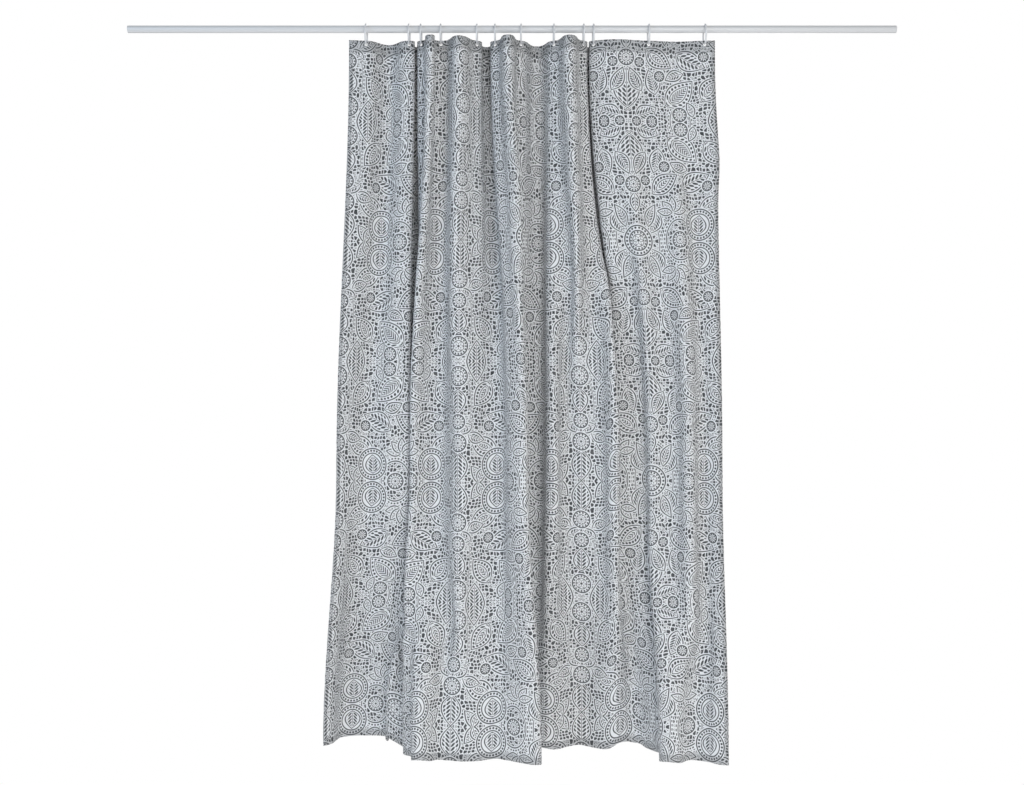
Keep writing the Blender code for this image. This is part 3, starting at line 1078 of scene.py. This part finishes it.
def hole_cutters():
    """A collection of round cutters, one for each eyelet's hole."""
    cutters = bpy.data.collections.new("hole_cutters")
    for number in range(len(RING_PLACES)):
        centre, turn = eyelet_seat(number)
        bpy.ops.mesh.primitive_cylinder_add(
            vertices=HOLE_STEPS,
            radius=EYELET_BARREL_RADIUS + GAP / 2,
            depth=CUTTER_DEPTH,
            location=centre,
            rotation=(math.pi / 2, 0.0, turn),
        )
        cutter = bpy.context.object
        for other in list(cutter.users_collection):
            other.objects.unlink(cutter)
        cutters.objects.link(cutter)
    return cutters


def cut_holes(thing, cutters):
    cut = thing.modifiers.new("eyelet_holes", "BOOLEAN")
    cut.operation = "DIFFERENCE"
    cut.solver = "EXACT"
    cut.operand_type = "COLLECTION"
    cut.collection = cutters
    apply_modifiers(thing)


# Which place of the print a layer of cloth shows: its own, or one turned over an edge of the sheet


def as_printed(along, down):
    return along, down


def turned_at_top(along, down):
    return along, -down


def turned_at_bottom(along, down):
    return along, 2 * CLOTH_DROP - down


def turned_at_left(along, down):
    return -along, down


def turned_at_right(along, down):
    return 2 * CLOTH_WIDTH - along, down


def settle(piece, replaced):
    """A piece of cloth rides with the curtain, in place of the CAD parts that it replaces, with a mesh of
    its own.
    """
    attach(piece, "curtain")
    for node in replaced:
        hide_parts(node)
    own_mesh(piece)


def hem(name, alongs, downs, flat_place, material):
    """A layer of turned cloth behind the sheet."""
    return sheet(name, alongs, downs, HEM_OFFSET, HEM_THICKNESS, flat_place, (material,))


def make_cloth(front, back, hem_side):
    """The sheet and its four hems."""
    alongs = np.linspace(0, CLOTH_WIDTH, CLOTH_COLUMNS)
    rows_at_eyelets = np.linspace(0, 2 * EYELET_BELOW_EDGE, ROWS_AT_EYELETS)
    downs = np.concatenate([rows_at_eyelets, np.linspace(TOP_HEM, CLOTH_DROP, CLOTH_ROWS)])
    panel = sheet("printed_curtain", alongs, downs, 0.0, CLOTH_THICKNESS, as_printed, (back, front))
    cutters = hole_cutters()
    cut_holes(panel, cutters)

    top_rows = np.array([0.0, EYELET_BELOW_EDGE, 2 * EYELET_BELOW_EDGE, TOP_HEM])
    top = hem("heading_hem", alongs, top_rows, turned_at_top, hem_side)
    cut_holes(top, cutters)
    for cutter in list(cutters.objects):
        bpy.data.objects.remove(cutter, do_unlink=True)

    bottom_rows = np.linspace(CLOTH_DROP - BOTTOM_HEM, CLOTH_DROP, HEM_ROWS)
    bottom = hem("lower_hem", alongs, bottom_rows, turned_at_bottom, hem_side)

    side_rows = np.linspace(TOP_HEM + GAP, CLOTH_DROP - BOTTOM_HEM - GAP, CLOTH_ROWS)
    left_places = np.linspace(0, SIDE_HEM, HEM_COLUMNS)
    right_places = np.linspace(CLOTH_WIDTH - SIDE_HEM, CLOTH_WIDTH, HEM_COLUMNS)
    left = hem("left_hem", left_places, side_rows, turned_at_left, hem_side)
    right = hem("right_hem", right_places, side_rows, turned_at_right, hem_side)
    return panel, top, bottom, left, right


def thread_places(along, down):
    """Where thread lies on the cloth's front, and which way the cloth faces there."""
    normal = sample(NORMALS, along, down)
    behind = wrinkles(along, down) - (CLOTH_THICKNESS / 2 + THREAD_RADIUS * THREAD_PROUD)
    return sample(SURFACE, along, down) + behind[..., None] * normal, normal


def stitch_points(start, end, facing):
    """A short thread from start to end, thickest between its shoulders."""
    side = unit(facing)
    out = unit(np.cross(unit(end - start), side))
    points = [start]
    for share in STITCH_SHOULDERS:
        middle = start + (end - start) * share
        for k in range(STITCH_SIDES):
            angle = 2 * math.pi * k / STITCH_SIDES
            points.append(middle + THREAD_RADIUS * (math.cos(angle) * side + math.sin(angle) * out))
    return [*points, end]


def stitch_faces(start):
    """The faces of a stitch whose points begin with number `start`."""
    near = start + 1
    far = near + STITCH_SIDES
    end = far + STITCH_SIDES
    faces = []
    for k in range(STITCH_SIDES):
        n = (k + 1) % STITCH_SIDES
        faces.append((start, near + n, near + k))
        faces.append((near + k, near + n, far + n, far + k))
        faces.append((end, far + k, far + n))
    return faces


def seams():
    """Each row of stitches: the flat places where they start, and how far each goes along and down."""
    alongs = np.arange(SEAM_FROM_SIDE, CLOTH_WIDTH - SEAM_FROM_SIDE - STITCH_LENGTH, STITCH_PITCH)
    for down in (TOP_HEM - SEAM_INSET, CLOTH_DROP - BOTTOM_HEM + SEAM_INSET):
        yield alongs, np.full_like(alongs, down), STITCH_LENGTH, 0.0
    downs = np.arange(TOP_HEM + SEAM_FROM_TOP_HEM, CLOTH_DROP - BOTTOM_HEM - STITCH_LENGTH, STITCH_PITCH)
    for along in (SIDE_HEM - SEAM_INSET, CLOTH_WIDTH - SIDE_HEM + SEAM_INSET):
        yield np.full_like(downs, along), downs, 0.0, STITCH_LENGTH


def make_stitches(material):
    """Rows of thread at the inner edge of each hem, one short stitch after another on the cloth's front."""
    points = []
    faces = []
    for along, down, sideways, downwards in seams():
        starts, facings = thread_places(along, down)
        ends, _ = thread_places(along + sideways, down + downwards)
        for start, end, facing in zip(starts, ends, facings):
            faces += stitch_faces(len(points))
            points += stitch_points(start, end, facing)
    mesh = bpy.data.meshes.new("hem_stitching")
    mesh.from_pydata(np.array(points), [], faces)
    mesh.update()
    return add_object("hem_stitching", mesh, material)


# ---------------------------------------------------------------- the set

CAMERA_BACK = 3.5
VIEW_WIDTH = 2.8366
CAMERA_HEIGHT = -1.006
SENSOR_WIDTH = 36.0
FLOOR_Z = -2.32
FLOOR_RADIUS = 3.0
FLOOR_PALENESS = 0.93
# The floor's share of plain white at its middle, and how much this grows in each metre
FLOOR_WHITE = 0.62
FLOOR_WHITE_PER_METRE = 0.5
SKY_LIGHT = 0.29
LIT_PLACE = (0.05, 0.0, -1.0)
# (name, place, width and height, watts, colour)
LIGHTS = (
    ("front", (1.0, -4.3, -0.5), (2.2, 2.2), 93.5, (1.0, 0.993, 0.975)),
    ("window_left", (-2.8, -3.0, 0.2), (2.4, 2.6), 46.0, (0.60, 0.79, 1.0)),
    ("room_right", (3.0, -2.8, 0.0), (2.4, 2.6), 10.0, (1.0, 0.97, 0.92)),
    ("behind", (0.6, 3.4, 0.3), (2.4, 2.0), 40.0, (1.0, 1.0, 1.0)),
)


def make_camera():
    data = bpy.data.cameras.new("camera")
    data.sensor_width = SENSOR_WIDTH
    data.lens = SENSOR_WIDTH * CAMERA_BACK / VIEW_WIDTH
    camera = bpy.data.objects.new("camera", data)
    bpy.context.scene.collection.objects.link(camera)
    camera.location = (0.0, -CAMERA_BACK, CAMERA_HEIGHT)
    camera.rotation_euler = (math.pi / 2, 0.0, 0.0)
    bpy.context.scene.camera = camera


def area_light(name, place, size, power, colour):
    data = bpy.data.lights.new(name, "AREA")
    data.shape = "RECTANGLE"
    data.size, data.size_y = size
    data.energy = power
    data.color = colour
    light = bpy.data.objects.new(name, data)
    bpy.context.scene.collection.objects.link(light)
    light.location = place
    light.rotation_euler = (Vector(LIT_PLACE) - Vector(place)).to_track_quat("-Z", "Y").to_euler()


def make_floor():
    """A pale round floor that fades into the white around it."""
    bpy.ops.mesh.primitive_circle_add(
        vertices=96,
        radius=FLOOR_RADIUS,
        fill_type="NGON",
        location=(0.0, 0.0, FLOOR_Z),
    )
    floor = bpy.context.object
    floor.name = "floor"
    made, shader = new_material("pale_floor", 0.9)
    shader.inputs["Base Color"].default_value = (FLOOR_PALENESS, FLOOR_PALENESS, FLOOR_PALENESS, 1.0)
    place = new_node("ShaderNodeTexCoord")
    far = new_node("ShaderNodeVectorMath")
    far.operation = "LENGTH"
    plug(far.inputs[0], place.outputs["Object"])
    fade = clamped(Term(far.outputs["Value"]) * FLOOR_WHITE_PER_METRE + FLOOR_WHITE)
    glow = new_node("ShaderNodeEmission")
    blend = new_node("ShaderNodeMixShader")
    plug(blend.inputs[0], fade)
    plug(blend.inputs[1], shader.outputs[0])
    plug(blend.inputs[2], glow.outputs[0])
    plug(made.node_tree.nodes["Material Output"].inputs["Surface"], blend.outputs[0])
    floor.data.materials.append(made)


def make_world():
    """White to look at, and a dimmer even light."""
    world = bpy.data.worlds.new("studio")
    world.use_nodes = True
    bpy.context.scene.world = world
    drawing["tree"] = world.node_tree
    seen = new_node("ShaderNodeLightPath")
    sky = world.node_tree.nodes["Background"]
    sky.inputs["Color"].default_value = (1.0, 1.0, 1.0, 1.0)
    strength = calc("MULTIPLY_ADD", Term(seen.outputs["Is Camera Ray"]), 1.0 - SKY_LIGHT, SKY_LIGHT)
    plug(sky.inputs["Strength"], strength)


# ---------------------------------------------------------------- all of it


def main():
    bpy.context.scene.view_settings.view_transform = "Standard"
    make_camera()
    make_world()
    for light in LIGHTS:
        area_light(*light)
    make_floor()
    print_tree = print_group()
    front = cloth_material("printed_cloth_front", print_tree, 0.95)
    back = cloth_material("printed_cloth_back", print_tree, 0.56)
    hem_side = cloth_material("printed_cloth_turned", print_tree, 0.94)
    thread = plain_material("sewing_thread", (0.62, 0.64, 0.67), 0.7, grain=0.15)
    paint = plain_material("painted_tube", (0.66, 0.67, 0.685), 0.38, coat=0.25)
    plastic = plain_material("white_plastic", (0.74, 0.75, 0.77), 0.3, coat=0.2)
    eyelet_plastic = plain_material("grey_plastic", (0.40, 0.41, 0.43), 0.45, coat=0.1)
    make_rod(paint)
    for number in range(1, len(RING_PLACES) + 1):
        make_ring(number, plastic)
        make_eyelet(number, eyelet_plastic)
    panel, top, bottom, left, right = make_cloth(front, back, hem_side)
    stitches = make_stitches(thread)
    settle(panel, ["curtain_panel"])
    settle(top, ["top_hem"])
    settle(bottom, ["bottom_hem"])
    settle(left, ["left_side_hem"])
    settle(right, ["right_side_hem"])
    settle(stitches, [])


main()
